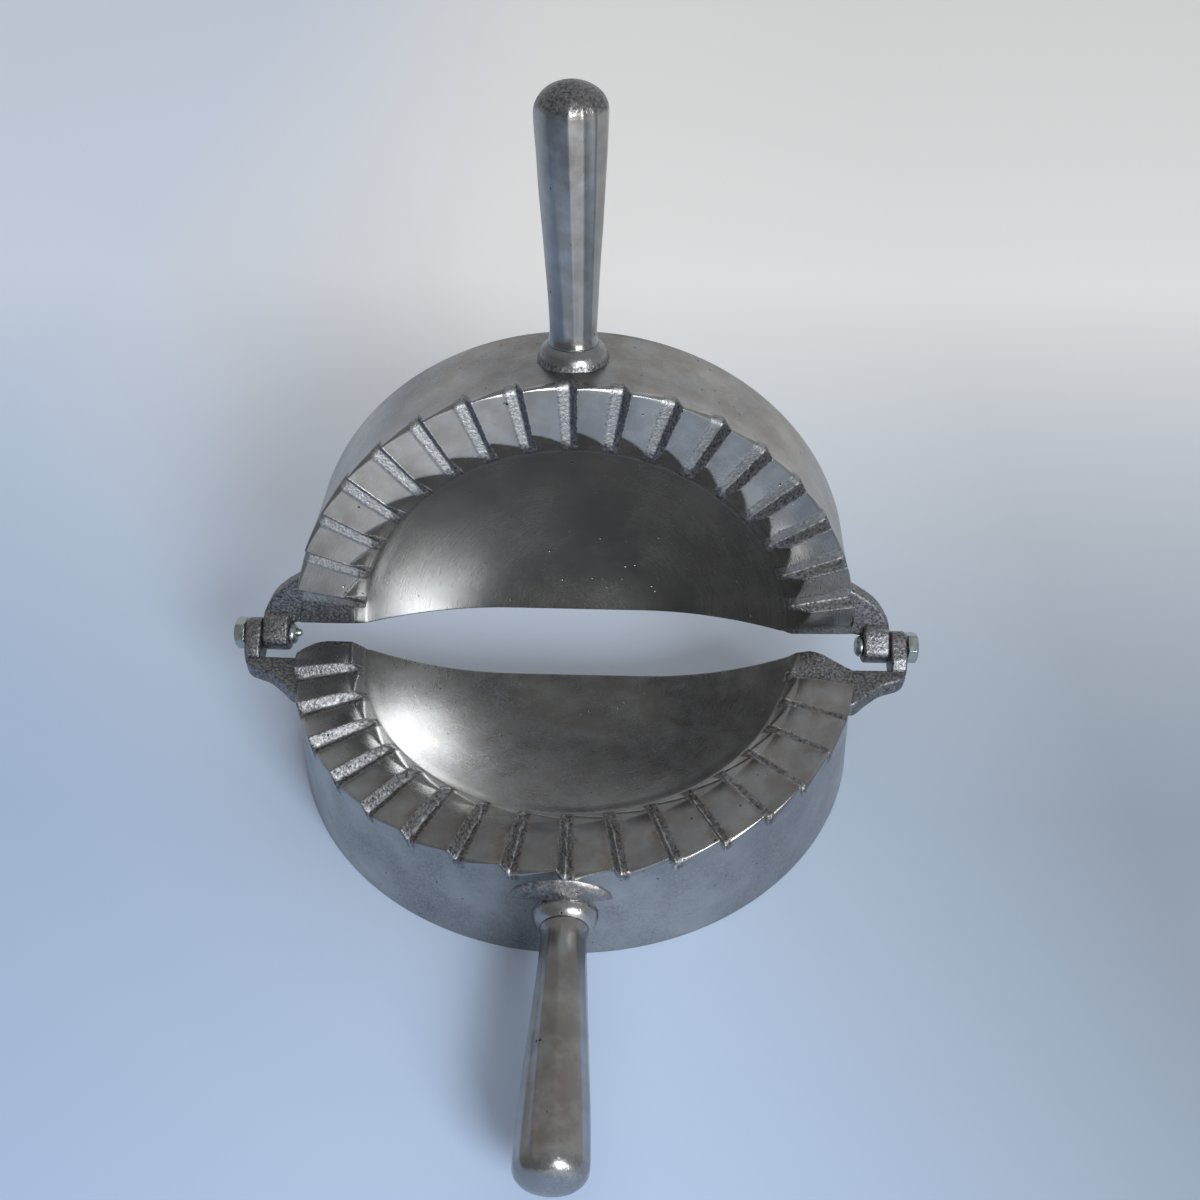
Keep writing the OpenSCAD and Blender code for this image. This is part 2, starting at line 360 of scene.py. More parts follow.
# The two castings.  A casting is a grid: its rows follow the section and its columns go
# round the ring.  The rows in front are radii over the bowl and the ring, and then steps
# round the outer corner, down the skirt and round its foot.
BOWL_STEPS = np.concatenate([[3.62, 3.85, 4.2, 4.7, 5.4, 6.5, 8.0, 10.0, 12.5, 15.5, 19.0],
                             np.arange(23.0, 72.0, 3.2), [73.6, 75.0, 75.8]])
RING_STEPS = np.concatenate([np.arange(76.4, 85.5, 0.42), [86.6, 88.8, 91.4, 94.0, 96.4, 98.2]])
CORNER_BEND = np.radians([0, 22, 45, 68, 90])
SKIRT_SHARE = np.array([0.06, 0.13, 0.2, 0.3, 0.4, 0.5, 0.6, 0.7, 0.8, 0.9, 0.965])
FOOT_BEND = np.radians([0, 45, 90])
BOWL_END, RING_END, CORNER_END, SKIRT_END, FRONT_END = np.cumsum(
    [len(BOWL_STEPS), len(RING_STEPS), len(CORNER_BEND), len(SKIRT_SHARE), len(FOOT_BEND)])


def section_radii(jaw):
    """Radii of the rows: over the front, and then, paired with it row by row, back up
    inside the skirt and under the ring and the bowl."""
    rim = RIM_R[jaw]
    inner = rim - SKIRT_WALL
    wall = UNDERSIDE_R + UNDERSIDE_BEND
    turn = np.radians(np.linspace(0, 90, len(CORNER_BEND)))
    front = [BOWL_STEPS, RING_STEPS, RING_R - FOOT_ROUND + FOOT_ROUND * np.sin(CORNER_BEND),
             np.full(len(SKIRT_SHARE), RING_R), rim - FOOT_ROUND + FOOT_ROUND * np.cos(FOOT_BEND)]
    back = [BOWL_STEPS * BACK_MOUTH_R / MOUTH_R,
            np.linspace(BACK_MOUTH_R + 0.5, UNDERSIDE_R, len(RING_STEPS)),
            UNDERSIDE_R + UNDERSIDE_BEND * np.sin(turn), wall + (inner - wall) * SKIRT_SHARE,
            inner + FOOT_ROUND - FOOT_ROUND * np.cos(FOOT_BEND)]
    return np.concatenate([*front, np.concatenate(back)[::-1]])[:, None]


def inside_heights():
    """Heights of the rows inside, from the foot back up to the middle of the bowl."""
    turn = np.radians(np.linspace(0, 90, len(CORNER_BEND)))
    wall_top = RING_BOTTOM - UNDERSIDE_BEND
    foot = FOOT_ROUND - SKIRT_DEPTH
    back = [bowl_height(BOWL_STEPS * BACK_MOUTH_R / MOUTH_R, BOWL_SIDE_R + BOWL_WALL),
            np.full(len(RING_STEPS), RING_BOTTOM), wall_top + UNDERSIDE_BEND * np.cos(turn),
            wall_top + (foot - wall_top) * SKIRT_SHARE, foot - FOOT_ROUND * np.sin(FOOT_BEND)]
    return np.concatenate(back)[::-1]


def tooth_columns():
    """Angles of the columns between the ends: close together round each steep face and
    wider on the gentle ones."""
    half = STEEP_ANGLE / 2.0
    step = np.array([-4.9, -3.9, -2.9, -2.0, -1.35, -half - 0.35, -half - 0.12, -half + 0.1, 0.0,
                     half - 0.12, half + 0.14, half + 0.42, 1.6, 2.5, 3.4, 4.2])
    k = (np.arange(TEETH) - (TEETH - 1) / 2)[:, None] * TOOTH_PITCH
    angle = np.unique(np.round((90.0 + k + step).ravel(), 3))
    return angle[(angle > 9.4) & (angle < 170.6)]


def column_angles(path_r, jaw):
    """Angle of every column on every row.  Columns near the straight edge keep their
    distance from it.  The others take the teeth's angles on the ring, and towards the
    middle they spread evenly."""
    near = np.array([0.0, 0.05, 0.16, 0.34, 0.6, 1.3])
    room = np.clip((path_r - EDGE_GAP) / 3.0, 0.0, 1.0)
    first, last = [np.degrees(np.arcsin(np.clip(
        (edge_line(path_r, jaw, side) + near * room) / path_r, 0.0, 1.0))) for side in (1, -1)]
    inside = tooth_columns()
    lead = np.linspace(0.0, 1.0, 7)[1:-1]
    start, stop = first[:, -1:], 180.0 - last[:, -1:]
    fixed = np.concatenate([start + (inside[0] - start) * lead, np.repeat(inside[None], len(path_r), 0),
                            inside[-1] + (stop - inside[-1]) * lead], 1)
    count = fixed.shape[1]
    even = start + (stop - start) * (np.arange(count) + 1.0) / (count + 1.0)
    on_ring = smooth_step((path_r - 40.0) / 32.0)
    return np.concatenate([first, even + (fixed - even) * on_ring, 180.0 - last[:, ::-1]], 1)


def casting_grid(jaw):
    """Radius, height and angle of every point of a casting, before its edges are rounded
    and its surface made uneven.  The ring is the lower of the teeth and the lip, less
    the wear at the inner end of the crests, and its corner and the skirt hang from it."""
    path_r = section_radii(jaw)
    angle = column_angles(path_r, jaw)
    r = np.repeat(path_r, angle.shape[1], 1)
    z = np.zeros_like(r)
    z[:BOWL_END] = bowl_height(r[:BOWL_END], BOWL_SIDE_R)

    # The outermost ring rows stretch to where the corner's rounding starts.
    rows = slice(BOWL_END - 3, RING_END)
    fixed_r = 88.0
    reach = RING_R - corner_round(angle[rows]) - 0.2
    stretched = fixed_r + (r[rows] - fixed_r) * (reach - fixed_r) / (RING_STEPS[-1] - fixed_r)
    r[rows] = np.where(r[rows] > fixed_r, stretched, r[rows])
    bowl = bowl_height(np.minimum(r[rows], MOUTH_R), BOWL_SIDE_R)
    lip = np.where(r[rows] < MOUTH_R, bowl, lip_height(r[rows], angle[rows], jaw))
    wear = WORN_CREST[jaw] * tooth_share(angle[rows]) * np.clip((WORN_R - r[rows]) / 6.0, 0.0, 1.0) ** 2
    on_pad = smooth_step((angle[rows] - LOW_PAD_START + 0.4) / 1.5) * (jaw == "upper")
    rounding = LIP_ROUND + (LOW_PAD_LIP_ROUND - LIP_ROUND) * on_pad
    z[rows] = soft_min(tooth_height(r[rows], angle[rows], jaw) - wear, lip, rounding)
    groove = GROOVE_DEPTH * np.exp(-((r[:RING_END] - GROOVE_R) / GROOVE_WIDTH) ** 2)
    z[:RING_END] -= groove * smooth_step((GROOVE_STOP - angle[:RING_END]) / 14.0)

    corner = slice(RING_END, CORNER_END)
    round_r = corner_round(angle[corner])
    bend = CORNER_BEND[:, None]
    r[corner] = RING_R - round_r * (1.0 - np.sin(bend))
    z[corner] = tooth_height(RING_R - round_r, angle[corner], jaw) - round_r * (1.0 - np.cos(bend))
    side = slice(CORNER_END, SKIRT_END)
    side_top = z[CORNER_END - 1]
    foot = FOOT_ROUND - SKIRT_DEPTH
    z[side] = side_top + (foot - side_top) * SKIRT_SHARE[:, None]
    lean = np.clip((RING_BOTTOM - z[side]) / (SKIRT_DEPTH + RING_BOTTOM), 0.0, 1.0)
    r[side] = RING_R + (RIM_R[jaw] - RING_R) * lean
    z[SKIRT_END:FRONT_END] = (foot - FOOT_ROUND * np.sin(FOOT_BEND))[:, None]
    z[FRONT_END:] = inside_heights()[:, None]
    return r, z, angle


def casting_points(r, z, angle, jaw):
    """The grid's points, with the inner edge rounded and a hand-finished surface.  Near
    the edge the section shrinks along its own normal by what a quarter circle leaves.
    The skirt gives way inwards only, so that the jaw stays in size."""
    a = np.radians(angle)
    out = r * np.sin(a)
    x = r * np.cos(a)
    along = np.stack([np.gradient(r, axis=0), np.gradient(z, axis=0)], -1)
    along /= np.linalg.norm(along, axis=-1, keepdims=True) + 1e-9
    edge = np.where(x > 0.0, edge_line(r, jaw, 1), edge_line(r, jaw, -1))
    gap = np.clip(out - edge, 0.0, EDGE_ROUND)
    shrink = EDGE_ROUND - np.sqrt(EDGE_ROUND ** 2 - (EDGE_ROUND - gap) ** 2)
    shrunk_r = r + along[..., 1] * shrink
    scale = np.sqrt(np.maximum(shrunk_r ** 2 - out ** 2, 0.0)) / np.maximum(np.abs(x), 1e-6)
    x = np.where(np.abs(x) > 1.0, x * scale, x)
    points = np.stack([x, out, z - along[..., 0] * shrink], -1)

    rows = np.arange(len(r))[:, None]
    on_skirt = (rows >= CORNER_END - 1) & (rows <= SKIRT_END)
    wave = 0.5 + 0.5 * uneven(points, 34.0, 3 if jaw == "lower" else 4)
    inward = np.where(on_skirt, 0.45 * wave, 0.0)
    away = np.sqrt(points[..., 0] ** 2 + points[..., 1] ** 2)
    points[..., 0] -= points[..., 0] / away * inward
    points[..., 1] -= np.where(gap < EDGE_ROUND, 0.0, points[..., 1] / away * inward)
    dents = 0.06 * uneven(points, 26.0, 11) * smooth_step(gap / EDGE_ROUND)
    points[..., 2] += np.where(rows < BOWL_END, dents, 0.0)
    return points


def casting_looks(r, z, angle, points, jaw):
    """Finish, film_and_painted_light and grinding coordinates of the grid.  The belt missed a ragged strip
    beside each valley, and the low pad.  Lightened are the crests, on the lower jaw the valley lines, and on
    the upper jaw those strips and the steep faces: partly worn bright by use, and partly painted highlights
    that stand in for glints.  The brown stain is thickest at both sides of a tooth's face.  The belt ran
    round the ring."""
    rows = np.arange(len(r))[:, None]
    on_bowl = rows < BOWL_END
    on_teeth = (rows >= BOWL_END) & (rows < CORNER_END)
    _, past = nearest_tooth(angle)
    ragged = past + 0.45 * uneven(points, 3.0, 51) + 0.25 * uneven(points, 1.2, 52)
    unground = UNGROUND[jaw]
    tooth = TOOTH_FINISH * np.where(past < 0.0, smooth_step((-past - 0.6) / 0.4),
                                    smooth_step((ragged - unground) / 0.8))
    lip = smooth_step(0.5 - 2.5 * (lip_height(r, angle, jaw) + 0.2 - z)) * (r < 84.0)
    tooth = np.maximum(tooth, LIP_FINISH * lip)
    pad = smooth_step(angle - LOW_PAD_START + 0.4) * smooth_step((r - 79.0) / 3.0)
    tooth = tooth * (1.0 - 0.9 * pad)
    finish = np.where(on_bowl, BOWL_FINISH[jaw], np.where(on_teeth, tooth, SKIRT_FINISH[jaw]))
    finish = np.where(rows >= FRONT_END - 1, 0.0, finish)

    # Painted highlights, partly real wear: crests, valley lines, unground strips and upper steep faces are
    # lightened.
    crest = np.exp(-((past + STEEP_ANGLE / 2.0 + 0.1) / 0.14) ** 2)
    across = (2.0 * tooth_share(angle) - 1.0) ** 2
    if jaw == "lower":
        valley = np.exp(-((ragged - STEEP_ANGLE / 2.0 - 0.15) / 0.2) ** 2)
        rub_and_glint = 0.5 * crest + 0.9 * valley
        stained = 0.35 + 0.65 * smooth_step((angle - 15.0) / 50.0)
        film_and_painted_light = (0.3 + 0.5 * across - 0.2 * lip) * stained
        film_and_painted_light = np.where(on_bowl, 0.3, np.where(on_teeth, film_and_painted_light, 0.0))
    else:
        strip = smooth_step((past - 0.6) / 0.3) * smooth_step((unground - ragged) / 0.8 + 1.0)
        rub_and_glint = 0.35 * crest + 0.6 * strip + 0.3 * (np.abs(past) < STEEP_ANGLE / 2.0)
        film_and_painted_light = np.where(on_bowl, 0.05, np.where(on_teeth, 0.25 + 0.2 * across, 0.45))
    rub_and_glint = np.clip(rub_and_glint, 0.0, 1.0) * smooth_step((r - 79.0) / 2.0) * (1.0 - lip)
    film_and_painted_light = np.where(on_teeth, film_and_painted_light * (1.0 - rub_and_glint) - rub_and_glint, film_and_painted_light)

    # Distance down the section, and a fraction of the way round, in which it is squeezed.
    step = np.hypot(np.diff(r[:, :1], axis=0), np.diff(z[:, :1], axis=0))
    down = np.concatenate([[[0.0]], np.cumsum(step, 0)])
    grind = np.stack([down + 0 * r, np.radians(angle) * 80.0 * 0.045, 0 * r], -1)
    return finish, film_and_painted_light, grind


def casting(jaw):
    """The dished half-round casting with its teeth and skirt.  Both ends of the section
    close on a point in the middle of the straight edge, and the edge is closed by faces
    between each row in front and its pair inside."""
    r, z, angle = casting_grid(jaw)
    points = casting_points(r, z, angle, jaw)
    finish, film_and_painted_light, grind = casting_looks(r, z, angle, points, jaw)
    rows, cols = r.shape
    count = rows * cols
    poles = [[0.0, EDGE_GAP, points[0, 0, 2]], [0.0, EDGE_GAP, points[-1, 0, 2]]]
    i = np.arange(cols - 1)
    last = count - cols
    front_fan = np.stack([np.full(cols - 1, count), i, i + 1], -1)
    back_fan = np.stack([last + i, np.full(cols - 1, count + 1), last + i + 1], -1)
    j = np.arange(FRONT_END - 1)
    front, back = j * cols, (rows - 1 - j) * cols
    first_end = np.stack([front + cols, front, back, back - cols], -1)
    front, back = front + cols - 1, back + cols - 1
    last_end = np.stack([front, front + cols, back - cols, back], -1)
    middle = np.array([[0, count, count + 1, last], [count, cols - 1, last + cols - 1, count + 1]])
    points = np.concatenate([points.reshape(-1, 3), poles])
    faces = outward(points, [grid_faces(rows, cols), front_fan, back_fan, first_end, last_end, middle])
    finish = np.concatenate([finish.ravel(), [1.0, 0.0]])
    film_and_painted_light = np.concatenate([film_and_painted_light.ravel(), [0.3, 0.0]])
    grind = np.concatenate([grind.reshape(-1, 3), grind[0, :1], grind[-1, :1]])
    return points, faces, looks(points, finish, film_and_painted_light, grind)


# Seats, ridge and lugs, which are cast in one with the jaws
def boss(jaw):
    """The round seat that holds the handle: a flared foot that grows out of the skirt
    into a thick cushion, rough at its root and worked smooth over its rounded end."""
    bead = BEAD_R[jaw]
    profile = [[97.4, bead + 2.1], [98.6, bead + 1.35], [99.8, bead + 0.75],
               [101.0, bead + 0.35], [102.1, bead + 0.05], [103.1, bead - 0.35],
               [104.0, bead - 1.0], [104.7, bead - 1.75], [105.2, bead - 2.5], [105.6, bead - 3.1],
               [105.75, 4.0]]
    rings = turned(profile, SEAT, (0, 1, 0), (1, 0, 0), 96)
    rough = smooth_step((101.6 - rings[..., 1]) / 1.8)
    push = (0.14 + 0.35 * rough) * uneven(rings, 5.0, 21) + (0.04 + 0.25 * rough) * uneven(rings, 2.0, 22)
    points, faces = closed_tube(pushed_out(rings, push - 0.3))
    worked = 0.75 if jaw == "lower" else 0.5
    finish = 0.1 + worked * smooth_step((points[:, 1] - 100.8) / 1.0)
    return points, faces, looks(points, finish, 0.1, points * [1.0, 0.3, 1.0])


def ridge():
    """Rough ridge across the lower skirt, just over the handle's seat: an ellipsoid, long
    in x, whose ends droop with the square of x, all but its front sunk in the skirt.  Its
    upper half is drawn out, so that it leans back into the skirt, and its lower half is
    short, so that it overhangs the seat."""
    out_r, up_r, down_r = 3.0, 8.0, 1.5
    centre = SEAT + [1.2, 99.1, 10.8]
    u = np.sin(np.radians(np.linspace(-90.0, 90.0, 41)))
    profile = np.stack([RIDGE_HALF * u, np.maximum(np.sqrt(1.0 - u ** 2), 0.02)], -1)
    rings = turned(profile, (0, 0, 0), (1, 0, 0), (0, 1, 0), 48)
    rings[..., 2] *= np.where(rings[..., 2] > 0.0, up_r, down_r)
    rings = rings * [1.0, out_r, 1.0] + centre
    rings[..., 2] -= RIDGE_DROOP * ((rings[..., 0] - centre[0]) / RIDGE_HALF) ** 2
    rings[..., 1] += 0.35 * uneven(rings, 4.5, 41) + 0.35 * uneven(rings, 1.6, 42) - 0.3
    points, faces = closed_tube(rings)
    return points, faces, looks(points, 0.4, 0.3)


def rounded_plate(outline, heart, low, high, edge):
    """A plate over a closed outline, between two heights, with the rim's edges rounded to
    quarter circles.  The outline is walked in even steps and averaged with its neighbours,
    so that its corners are soft, and each face closes on the point `heart` inside it."""
    loop = np.array(outline + outline[:1], float)
    walked = np.concatenate([[0.0], np.cumsum(np.hypot(*np.diff(loop, axis=0).T))])
    at = np.linspace(0.0, walked[-1], 121)[:-1]
    rim = np.stack([np.interp(at, walked, loop[:, k]) for k in (0, 1)], -1)
    for _ in range(3):
        rim = (np.roll(rim, 1, 0) + rim + np.roll(rim, -1, 0)) / 3.0
    along = np.roll(rim, -1, 0) - np.roll(rim, 1, 0)
    along /= np.linalg.norm(along, axis=1, keepdims=True)
    inward = np.stack([-along[:, 1], along[:, 0]], -1)
    inward *= np.sign(np.sum(inward * (heart - rim)))
    bend = np.radians([90, 68, 45, 22, 0])
    inset = np.concatenate([edge * (1.0 - np.cos(bend)), edge * (1.0 - np.cos(bend[::-1]))])
    height = np.concatenate([low + edge * (1.0 - np.sin(bend)), high - edge * (1.0 - np.sin(bend[::-1]))])
    rings = rim + inset[:, None, None] * inward
    share = np.array([0.02, 0.5, 0.8, 0.96])[:, None, None]
    under = heart + (rings[0] - heart) * share
    over = heart + (rings[-1] - heart) * share[::-1]
    rings = np.concatenate([under, rings, over])
    height = np.concatenate([np.full(4, low), height, np.full(4, high)])
    return np.concatenate([rings, np.broadcast_to(height[:, None, None], rings.shape[:2] + (1,))], -1)


def lug(jaw, side):
    """A web in plan from the ring's corner, whose top dips a little towards the ring,
    and the eye plate that stands at its end: a round about the hinge line, with a cheek
    down to the web."""
    web_bottom = -8.5
    if jaw == "lower":
        x0, x1 = OUTER_LUG
        web_top = -1.8
        plan = [[94, 9.6], [x1, 9.6], [x1 - 0.6, 11.6], [116.2, 13.5], [114.2, 14.8], [109.6, 16.4],
                [106.4, 18.5], [103, 21.4], [98.5, 26], [94, 27]]
        cheek = [[6.5, web_bottom], [10.6, web_bottom], [10.6, -3.0], [10.2, -1.2], [8.2, 1.6]]
    else:
        x0, x1 = INNER_LUG
        web_top = -1.9
        plan = [[91, 3.6], [101, 3.4], [104, 2.2], [x1, 2.2], [x1, 7.6], [110.9, 10.4], [109.0, 13.4],
                [106.6, 16.2], [103.4, 18.8], [97.5, 22.8], [91, 23.5]]
        cheek = [[6.0, web_bottom], [8.6, web_bottom], [8.6, -2.9], [8.0, -0.9], [6.6, 1.2]]
    web = rounded_plate(plan, np.array([99.0, 12.0]), web_bottom, web_top, 1.0)
    dip = 0.16 * np.maximum(97.5 - web[..., 0], 0.0)
    web[..., 2] -= np.where(web[..., 2] > -5.0, dip, 0.0)
    a = np.radians(np.linspace(74.0, 246.0, 22))
    round_end = np.stack([EYE_R * np.cos(a), EYE_R * np.sin(a)], -1).tolist()
    eye = rounded_plate(round_end + cheek, np.array([2.5, -1.5]), x0, x1, 0.8)[..., [2, 0, 1]]
    grain, finish = (0.2, 0.05) if jaw == "upper" and side < 0 else (0.1, 0.2)
    shells = []
    for rings, seed in ((web, 31), (eye, 35)):
        ripple = 0.14 * uneven(rings, 6.0, seed + side) + grain * uneven(rings, 2.0, 33)
        rings[..., 2] += ripple - 0.2
        points, faces = closed_tube(rings)
        shells.append((points, faces, looks(points, finish, 0.15)))
    made = joined(shells)
    return made if side > 0 else mirrored(made)


def whole_jaw(jaw):
    """Everything that is cast in one: the dished casting, the seat, the two lugs, and
    the ridge on the lower jaw."""
    seat = [boss(jaw), ridge()] if jaw == "lower" else [boss(jaw)]
    return joined([casting(jaw), *seat, lug(jaw, 1), lug(jaw, -1)])


# Handles
def club_handle(end, root_r, end_r, dome, power, seed, dome_finish):
    """Club handle: half of its swelling is even and half eases in and out, its end is a
    superellipse, and belt grinding has left a dozen uneven flats along it, which make its
    section a soft twelve-sided figure."""
    start = end - dome
    t = np.linspace(0.0, 1.0, 30)
    body = root_r + (end_r - root_r) * (t + 3 * t ** 2 - 2 * t ** 3) / 2
    line = np.stack([BOSS_END + (start - BOSS_END) * t, body], -1)
    line = line[line[:, 0] > BOSS_END + 2.0]
    root = [[104.2, 3.0], [104.6, root_r - 0.6], [105.0, root_r + 0.6], [105.5, root_r + 0.75],
            [106.1, root_r + 0.62], [107.0, root_r + 0.3]]
    a = np.radians(np.concatenate([np.arange(5.0, 85.0, 5.0), [86.0, 88.5]]))
    cap = np.stack([start + dome * np.sin(a), end_r * (1 - np.sin(a) ** power) ** (1 / power)], -1)
    profile = np.concatenate([root, line, cap, [[end - 0.02, 0.8]]])

    def flats(t, along):
        """Radius shares of a polygon whose sides differ in width and wind a little."""
        along = along[:, None]
        twist = 0.25 * (along - BOSS_END) / (end - BOSS_END)
        warped = t + 0.11 * np.sin(2 * t + seed) + 0.08 * np.sin(3 * t + 2 * seed) + twist
        past = np.mod(warped, 2.0 * np.pi / FLATS) - np.pi / FLATS
        flat = np.cos(np.pi / FLATS) / np.cos(past)
        here = smooth_step((along - BOSS_END) / 6.0) * smooth_step((end - along) / dome)
        return 1.0 + (flat - 1.0) * here

    rings = turned(profile, SEAT, (0, 1, 0), (1, 0, 0), 120, flats)
    rings = pushed_out(rings, 0.14 * uneven(rings, 22.0, seed) - 0.14)
    points, faces = closed_tube(rings)
    polished = 0.95
    finish = polished + (dome_finish - polished) * smooth_step((points[:, 1] - start) / 3.0)
    # An even brown stain, thickened towards the handle's up side as a painted dark reflection that darkens
    # that side.
    film_and_painted_light = 0.25 + 0.4 * smooth_step((points[:, 2] - SEAT[2]) / end_r - 0.3)
    return points, faces, looks(points, finish, film_and_painted_light, points * [1.0, 0.05, 1.0])


# Hinge bolts
def bolt_head(turn):
    """Chamfered hexagon head, turned by an angle.  Its radius is half its flats over the
    cosine of the angle from the nearest flat's middle, or what the chamfer leaves of it,
    and a shallow step is sunk in its top."""
    corner = np.radians(turn)
    beside = np.add.outer(np.pi / 3 * np.arange(6), np.radians([-2.2, -0.8, 0.8, 2.2])).ravel()
    t = np.sort(np.concatenate([np.linspace(0, 2 * np.pi, 60, endpoint=False),
                                np.mod(corner + beside, 2 * np.pi)]))
    heights = np.array([0.0, 0.15, 0.4, 1.4, HEAD_H - 0.95, HEAD_H - 0.7, HEAD_H - 0.45, HEAD_H - 0.2,
                        HEAD_H - 0.05, HEAD_H, HEAD_H, HEAD_H - 0.12, HEAD_H - 0.12])
    limit = np.array([5.55, 5.75, 6, 6, 6, 5.7, 5.36, 5.0, 4.8, 4.6, 3.4, 3.2, 1.0])
    past = np.mod(t - corner, np.pi / 3) - np.pi / 6
    radius = np.minimum(HEAD_FLATS / 2 / np.cos(past), limit[:, None])
    along = np.repeat((HEAD_X + heights)[:, None], len(t), 1)
    return np.stack([along, radius * np.sin(t), -radius * np.cos(t)], -1)


def hinge_bolt(side, turn, nub):
    """Bolt through both lugs: a hexagon head outside, a plain shank, and the end hammered
    to a slightly three-cornered button inside, on the left with a nub left on it."""
    x = INNER_LUG[0]
    line = {"centre": (0, 0, 0), "way": (1, 0, 0), "around": (0, 1, 0)}
    shank = turned([[x - 0.3, 2.0], [x - 0.3, SHANK_R], [112.0, SHANK_R], [HEAD_X + 0.3, SHANK_R],
                    [HEAD_X + 0.3, 2.0]], **line, sides=48)
    button = turned([[x - 2.6, 1.2], [x - 2.55, 2.3], [x - 2.3, 2.95], [x - 1.9, 3.4], [x - 1.4, 3.75],
                     [x - 0.8, 3.88], [x - 0.35, 3.8], [x + 0.05, 3.4]], **line, sides=56,
                    shape=lambda t, along: 1.0 - 0.02 * (1 + np.cos(3 * t)) + 0 * along[:, None])
    parts = [(bolt_head(turn), 0.9), (shank, 0.3), (button, 0.8)]
    if nub:
        stub = turned([[x - 4.5, 0.4], [x - 4.35, 0.9], [x - 3.9, 1.2], [x - 3.2, 1.35], [x - 2.3, 1.8]],
                      (0, 0.8, 0.2), (1, 0, 0), (0, 1, 0), 32)
        parts.append((stub, 0.8))
    shells = []
    for rings, finish in parts:
        points, faces = closed_tube(rings)
        shells.append((points, faces, looks(points, finish)))
    made = joined(shells)
    return made if side > 0 else mirrored(made)


# Materials.  Numbered sockets: on MATH they are its terms, on RANGE the value, where it
# runs from and to, and what that becomes, and on MIX the share (0) and two colours (6, 7).
MATH, RANGE, MIX, NOISE = "ShaderNodeMath", "ShaderNodeMapRange", "ShaderNodeMix", "ShaderNodeTexNoise"


def linear(hex_colour):
    """sRGB hex to linear RGBA."""
    c = np.array([int(hex_colour[i:i + 2], 16) for i in (1, 3, 5)]) / 255.0
    c = np.where(c <= 0.04045, c / 12.92, ((c + 0.055) / 1.055) ** 2.4)
    return (*c, 1.0)


def node(tree, kind, inputs=None, out=0, **settings):
    """Adds a node, sets its properties, links or sets its inputs, and gives one output."""
    made = tree.nodes.new(kind)
    for key, value in settings.items():
        setattr(made, key, value)
    for key, value in (inputs or {}).items():
        if isinstance(value, bpy.types.NodeSocket):
            tree.links.new(value, made.inputs[key])
        else:
            made.inputs[key].default_value = value
    return made.outputs[out] if made.outputs else made


def new_material(name):
    """An empty node material and its tree."""
    material = bpy.data.materials.new(name)
    material.use_nodes = True
    material.node_tree.nodes.clear()
    return material, material.node_tree


